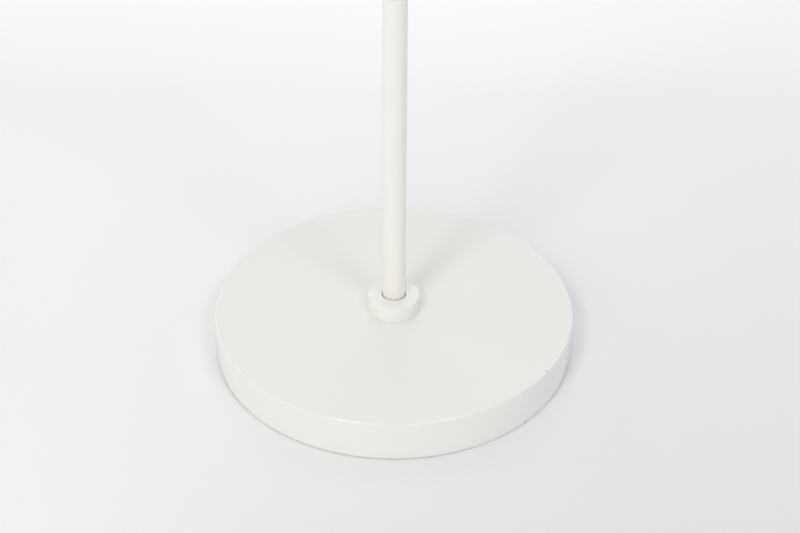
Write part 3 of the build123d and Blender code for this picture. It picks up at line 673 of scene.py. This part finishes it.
def piece(bm: BMesh, name: str, body: Body, finish: Finish, *nodes: str) -> None:
    """Make a finished piece of a mesh and hand it to the frame.

    Args:
        bm: the mesh, which is freed.
        name: name of the piece.
        body: the body that carries it.
        finish: its finish.
        nodes: CAD nodes that it stands for.
    """
    made = placed(bm, name, finish.material())
    made.data.shade_smooth()
    made.data.set_sharp_from_angle(angle=SHARP)
    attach(made, body.value)
    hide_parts(*nodes)
    log.info("%s: %d faces on %s", name, len(made.data.polygons), body.value)


def dress(finish: Finish, *nodes: str) -> None:
    """Give CAD nodes a finish in all their material slots.

    Args:
        finish: the finish.
        nodes: names of the nodes.
    """
    for node in nodes:
        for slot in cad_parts[node].material_slots:
            slot.material = finish.material()
        log.info("%s: dressed in %s", node, finish.name)


@dataclass
class Base:
    """The weighted base: pressed cover, pad, ballast and what is inside, in millimetres."""

    radius: float = 125.0
    top: float = 30.0
    rim: float = 0.6
    rim_round: float = 0.15
    wall: float = 1.2
    edge: float = 0.7
    crease: float = 0.6
    hole: float = 5.1
    inlet_level: float = 9.0
    inlet_half: float = 4.1
    steps: int = 192
    bush_bore: float = 3.6
    bush_neck: float = 5.0
    bush_nose: float = 6.0
    bush_lip: float = 7.0
    bush_start: float = 121.552
    bush_shoulder: float = 123.552
    bush_end: float = 127.0
    bush_steps: int = 64

    def cover(self) -> None:
        """Turn the cover as one pressed sheet, and open it for the cord."""
        inner = self.radius - self.wall
        under = self.top - self.wall
        outline = [
            Corner(self.hole, under),
            Corner(self.hole, self.top),
            Corner(self.radius, self.top, self.edge, segments=12),
            Corner(self.radius, self.rim, self.rim_round, segments=3),
            Corner(inner, self.rim, self.rim_round, segments=3),
            Corner(inner, under, self.crease, segments=6),
        ]
        bm = FLOOR_AXIS.turned(outline, self.steps)
        self.inlet(bm)
        piece(bm, "cover", Body.STAND, BASE_PAINT, "base_cover")

    def inlet(self, bm: BMesh) -> None:
        """Open the back of the cover's wall, within the lips of the bush.

        Args:
            bm: the turned cover.
        """
        for level in (self.inlet_level - self.inlet_half, self.inlet_level + self.inlet_half):
            bmesh.ops.bisect_plane(bm, geom=bm.verts[:] + bm.edges[:] + bm.faces[:], dist=MERGE,
                                   plane_co=(0.0, 0.0, level * MM), plane_no=(0.0, 0.0, 1.0))
        middle = Vector((0.0, self.radius, self.inlet_level)) * MM
        reach = self.inlet_half * MM
        panes = [face for face in bm.faces if (face.calc_center_median() - middle).length < reach]
        bmesh.ops.delete(bm, geom=panes, context="FACES")
        bmesh.ops.bridge_loops(bm, edges=[edge for edge in bm.edges if edge.is_boundary])

    def bush(self) -> None:
        """Turn the bush with soft lips and a flared bore."""
        way = Lathe((0.0, 0.0, self.inlet_level), (0.0, 1.0, 0.0))
        outline = [
            Corner(self.bush_bore, self.bush_start, rounding=0.6, segments=4),
            Corner(self.bush_lip, self.bush_start, rounding=0.5, segments=4),
            Corner(self.bush_lip, self.bush_shoulder, rounding=0.5, segments=4),
            Corner(self.bush_neck, self.bush_shoulder),
            Corner(self.bush_neck, self.radius),
            Corner(self.bush_lip, self.radius, rounding=0.2, segments=3),
            Corner(self.bush_nose, self.bush_end, rounding=0.7, segments=5),
            Corner(self.bush_bore, self.bush_end, rounding=0.8, segments=5),
        ]
        bm = way.turned(outline, self.bush_steps)
        piece(bm, "inlet_bush", Body.STAND, BUSH_RUBBER, "cord_bush")

    def fittings(self) -> None:
        """Dress the pieces under the cover."""
        dress(PAD_FELT, "base_pad")
        dress(BALLAST_IRON, "ballast")
        dress(ZINC, "base_thread", "base_nut", "base_washer")
        dress(NYLON, "terminal_block")
        dress(BRASS, "terminal_screw")
        dress(LEAD, "pole_lead")

    def build(self) -> None:
        """Build and dress the base."""
        self.cover()
        self.bush()
        self.fittings()


@dataclass
class Pole:
    """The pole in two lengths, its foot and the collar round it, in millimetres."""

    radius: float = 8.0
    bore: float = 7.0
    foot: float = 34.0
    joint: float = 674.0
    top: float = 1294.0
    end_round: float = 0.25
    seat: float = 30.0
    collar_radius: float = 18.0
    collar_height: float = 12.0
    collar_hole: float = 8.5
    collar_play: float = 0.45
    collar_round: float = 0.5
    collar_foot: float = 0.5
    collar_mouth: float = 0.12
    flange_room: float = 13.6
    flange_depth: float = 4.3
    steps: int = 96

    def tube(self, name: str, start: float, end: float, node: str) -> None:
        """Turn one length of tube with softened ends.

        Args:
            name: name of the piece.
            start: level of its lower end.
            end: level of its upper end.
            node: the CAD node that it stands for.
        """
        outline = [
            Corner(self.bore, start),
            Corner(self.radius, start, self.end_round, segments=3),
            Corner(self.radius, end, self.end_round, segments=3),
            Corner(self.bore, end),
        ]
        piece(FLOOR_AXIS.turned(outline, self.steps), name, Body.STAND, LIT_TUBE_PAINT, node)

    def collar(self) -> None:
        """Turn the collar, which stands a little forward in its play on the pole."""
        head = self.seat + self.collar_height
        ledge = self.seat + self.flange_depth
        outline = [
            Corner(self.collar_hole, head, self.collar_mouth, segments=4),
            Corner(self.collar_radius, head, self.collar_round, segments=12),
            Corner(self.collar_radius, self.seat, self.collar_foot, segments=8),
            Corner(self.flange_room, self.seat),
            Corner(self.flange_room, ledge),
            Corner(self.collar_hole, ledge),
        ]
        forward = Lathe((0.0, -self.collar_play, 0.0))
        piece(forward.turned(outline, self.steps), "foot_collar", Body.STAND, COLLAR_WHITE, "collar")

    def fittings(self) -> None:
        """Dress the inserts of the pole."""
        dress(ZINC, "pole_foot", "joint_bush", "joint_stud")
        dress(CAST_PAINT, "top_bush")

    def build(self) -> None:
        """Build and dress the pole."""
        self.tube("lower_tube", self.foot, self.joint, "pole_lower")
        self.tube("upper_tube", self.joint, self.top, "pole_upper")
        self.collar()
        self.fittings()


@dataclass
class Arm:
    """The swivel, the hub and the arm with its half of the knuckle."""

    def build(self) -> None:
        """Dress the swivel and the arm."""
        dress(NYLON, "swivel_washer")
        dress(ZINC, "swivel_spindle")
        dress(DARK_STEEL, "spindle_clip", "grub_screw")
        dress(BRIGHT_STEEL, "stop_pin", "knuckle_bolt", "spring_washer", "cap_nut")
        dress(CAST_PAINT, "arm_hub", "knuckle_arm_half")
        dress(LIT_TUBE_PAINT, "arm_tube")
        dress(LEAD, "arm_lead")
        dress(FIBRE, "friction_ring")


@dataclass
class Head:
    """The tilting head: knuckle half, cup, lampholder, shade and bulb, in millimetres."""

    reach: float = 250.0
    level: float = 1317.8
    skirt: float = 19.7
    thread_top: float = 110.2
    thread_pitch: float = 2.5
    thread_size: float = 0.5
    thread_sunk: float = 0.2
    thread_sides: int = 3
    turns: int = 4
    steps: int = 96

    def thread(self) -> None:
        """Wind the lampholder's thread round its skirt, below the shade ring."""
        middle = Vector((self.reach, 0.0, self.level - self.thread_top)) * MM
        start = Matrix.Translation(middle + Vector((self.skirt - self.thread_sunk, 0.0, 0.0)) * MM)
        # Stands the profile upright, with its first axis upwards and its second one outwards
        upright = Matrix(((0.0, 1.0, 0.0), (0.0, 0.0, 1.0), (1.0, 0.0, 0.0))).to_4x4()
        drop = Vector((0.0, 0.0, -self.thread_pitch / self.steps)) * MM
        bm = bmesh.new()
        bmesh.ops.create_circle(bm, cap_ends=True, segments=self.thread_sides,
                                radius=self.thread_size * MM, matrix=start @ upright)
        bmesh.ops.spin(bm, geom=bm.verts[:] + bm.edges[:] + bm.faces[:], cent=middle, axis=(0.0, 0.0, 1.0),
                       dvec=drop, angle=math.tau * self.turns, steps=self.steps * self.turns)
        piece(merged(bm), "skirt_thread", Body.HEAD, HOLDER)

    def build(self) -> None:
        """Wind the thread and dress the head."""
        self.thread()
        dress(CAST_PAINT, "knuckle_head_half")
        dress(LEAD, "head_lead")
        dress(SHADE_PAINT, "socket_cup", "shade")
        dress(ZINC, "cup_nut")
        dress(HOLDER, "lampholder", "shade_ring")
        dress(BRASS, "screw_shell", "centre_contact", "bulb_tip")
        dress(OPAL_GLASS, "bulb_globe")
        dress(CAP_METAL, "bulb_cap")
        dress(INSULATOR, "bulb_insulator")


@dataclass
class Switch:
    """The turn switch on the side of the cup."""

    def build(self) -> None:
        """Dress the switch."""
        dress(BRIGHT_STEEL, "switch_spindle")
        dress(KNOB, "switch_knob")


@dataclass(frozen=True)
class Softbox:
    """A square studio light that looks at the foot of the lamp.

    Its angles are in degrees, the azimuth from the front towards +X, and its lengths in metres. A light that
    isn't mirrored stays out of reflections, and a glint shows in reflections only.
    """

    name: str
    azimuth: float
    elevation: float
    watts: float
    distance: float
    width: float
    mirrored: bool = True
    tint: Colour = (1.0, 1.0, 1.0)
    glint: bool = False

    def hang(self) -> None:
        """Place the light and turn it to the lamp's foot."""
        turn, rise = math.radians(self.azimuth), math.radians(self.elevation)
        way = Vector((math.sin(turn) * math.cos(rise), -math.cos(turn) * math.cos(rise), math.sin(rise)))
        facing = way.to_track_quat("Z", "Y").to_matrix().to_4x4()
        light = bpy.data.lights.new(self.name, "AREA")
        light.energy = self.watts
        light.size = self.width
        light.color = self.tint
        lamp = bpy.data.objects.new(self.name, light)
        lamp.matrix_world = Matrix.Translation(way * self.distance) @ facing
        lamp.visible_camera = False
        lamp.visible_glossy = self.mirrored
        lamp.visible_diffuse = not self.glint
        bpy.context.scene.collection.objects.link(lamp)


# Each light by name, azimuth, elevation, watts, distance and width
RIG = (
    Softbox("left_softbox", -30.0, 47.0, 116.0, 8.4, 1.7),
    Softbox("right_softbox", 37.0, 52.0, 85.3, 8.4, 1.8, tint=(0.97, 0.985, 1.0)),
    Softbox("left_glint", -31.0, 47.0, 340.0, 8.4, 2.1, glint=True),
    Softbox("right_glint", 43.0, 52.0, 240.0, 8.4, 1.9, glint=True),
    Softbox("front_panel", -18.0, 22.0, 120.4, 7.2, 4.8, mirrored=False),
    Softbox("left_panel", -105.0, 16.0, 36.5, 6.0, 2.8, mirrored=False),
    Softbox("right_panel", 108.0, 22.0, 49.0, 7.2, 4.8, mirrored=False, tint=(0.52, 0.80, 1.0)),
    Softbox("high_back_panel", 180.0, 55.0, 69.3, 7.2, 4.8, mirrored=False),
    Softbox("back_panel", 180.0, 29.0, 14.7, 7.2, 6.6),
)


@dataclass
class Studio:
    """The pale floor, the lights, the surroundings and the camera.

    The floor's sizes and ramps are in metres, and the camera's place is in millimetres.
    """

    floor_half: float = 6.0
    floor_squares: int = 8
    paper_roughness: float = 0.85
    paper_specular: float = 0.2
    # Painted light and shade on the floor: a lighter colour on the left and at the back, a darker one on the
    # right and at the front right
    left_paper_painted_light: Colour = (0.876, 0.868, 0.863)
    right_paper_painted_shade: Colour = (0.801, 0.783, 0.797)
    far_paper_painted_light: Colour = (0.926, 0.917, 0.913)
    front_paper_painted_shade: Colour = (0.738, 0.730, 0.733)
    left_to_right: Ramp = Ramp(-0.25, 0.27)
    far_left: Ramp = Ramp(-0.40, 0.0, 0.2, 1.0)
    far_right: Ramp = Ramp(0.0, 0.35, 1.0, 0.6)
    far_depth: Ramp = Ramp(0.0, 0.45)
    dim_across: Ramp = Ramp(-0.22, 0.15)
    dim_depth: Ramp = Ramp(0.0, -0.25)
    white_across: Ramp = Ramp(0.10, 0.40, 1.0, 0.6)
    white_depth: Ramp = Ramp(0.345, 0.62)
    white_around: Ramp = Ramp(0.65, 1.10)
    ambient: float = 0.557
    backdrop: float = 1.0
    sensor: float = 36.0
    lens: float = 75.043
    near: float = 0.01
    eye: Place = (4.125, -930.984, 739.898)
    dip: float = 35.945
    roll: float = 0.4005

    def paper(self) -> Material:
        """Paint light and shade into the floor's colour: painted light on the left and at the back, painted
        shade on the right and at the front right, and white further out.

        Returns:
            The floor's material.
        """
        board = NodeBoard("floor_paper")
        board.fix("Roughness", self.paper_roughness)
        board.fix("Specular IOR Level", self.paper_specular)
        across, depth = board.axis(Along.X), board.axis(Along.Y)
        # Masks of the painted light at the back and of the painted shade at the front right, over a painted
        # left-to-right fall of light
        middle = board.times(board.span(across, self.far_left), board.span(across, self.far_right))
        far = board.times(middle, board.span(depth, self.far_depth))
        dim = board.times(board.span(across, self.dim_across), board.span(depth, self.dim_depth))
        colour = board.tinted(board.span(across, self.left_to_right), self.left_paper_painted_light, self.right_paper_painted_shade)
        colour = board.tinted(far, colour, self.far_paper_painted_light)
        board.feed("Base Color", board.tinted(dim, colour, self.front_paper_painted_shade))
        behind = board.times(board.span(across, self.white_across), board.span(depth, self.white_depth))
        around = board.span(board.away((0.0, 0.0, 0.0)), self.white_around)
        board.whitened(board.larger(behind, around))
        return board.material

    def floor(self) -> None:
        """Lay the floor."""
        bm = bmesh.new()
        bmesh.ops.create_grid(bm, x_segments=self.floor_squares, y_segments=self.floor_squares,
                              size=self.floor_half)
        ground = placed(bm, "floor", self.paper())

    def surroundings(self) -> None:
        """Light the scene evenly, and show white to the camera and to reflections."""
        world = bpy.data.worlds.new("studio")
        world.use_nodes = True
        tree = world.node_tree
        tree.nodes.clear()
        output = tree.nodes.new("ShaderNodeOutputWorld")
        light = tree.nodes.new("ShaderNodeBackground")
        light.inputs["Strength"].default_value = self.ambient
        white = tree.nodes.new("ShaderNodeBackground")
        white.inputs["Strength"].default_value = self.backdrop
        for shade in (light, white):
            shade.inputs["Color"].default_value = (1.0, 1.0, 1.0, 1.0)
        mix = blended(tree, seen_rays(tree), light.outputs["Background"], white.outputs["Background"])
        tree.links.new(mix, output.inputs["Surface"])
        bpy.context.scene.world = world

    def camera(self) -> None:
        """Set the camera at the photograph's viewing angle."""
        dip, roll = math.radians(self.dip), math.radians(self.roll)
        forward = Vector((0.0, math.cos(dip), -math.sin(dip)))
        across = Vector((1.0, 0.0, 0.0))
        upward = across.cross(forward)
        right = across * math.cos(roll) + upward * math.sin(roll)
        top = upward * math.cos(roll) - across * math.sin(roll)
        turn = Matrix((right, top, -forward)).transposed().to_4x4()
        data = bpy.data.cameras.new("camera")
        data.sensor_width = self.sensor
        data.lens = self.lens
        data.clip_start = self.near
        eye = bpy.data.objects.new("camera", data)
        eye.matrix_world = Matrix.Translation(Vector(self.eye) * MM) @ turn
        bpy.context.scene.collection.objects.link(eye)
        bpy.context.scene.camera = eye

    def build(self) -> None:
        """Set up the studio."""
        self.floor()
        for softbox in RIG:
            softbox.hang()
        self.surroundings()
        self.camera()
        bpy.context.scene.view_settings.view_transform = "Standard"


def main() -> None:
    """Build the lamp and the studio."""
    logging.basicConfig(level=logging.INFO, format="%(name)s: %(message)s")
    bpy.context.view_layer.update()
    for part in (Base(), Pole(), Arm(), Head(), Switch()):
        part.build()
    Studio().build()


if __name__ == "__main__":
    main()
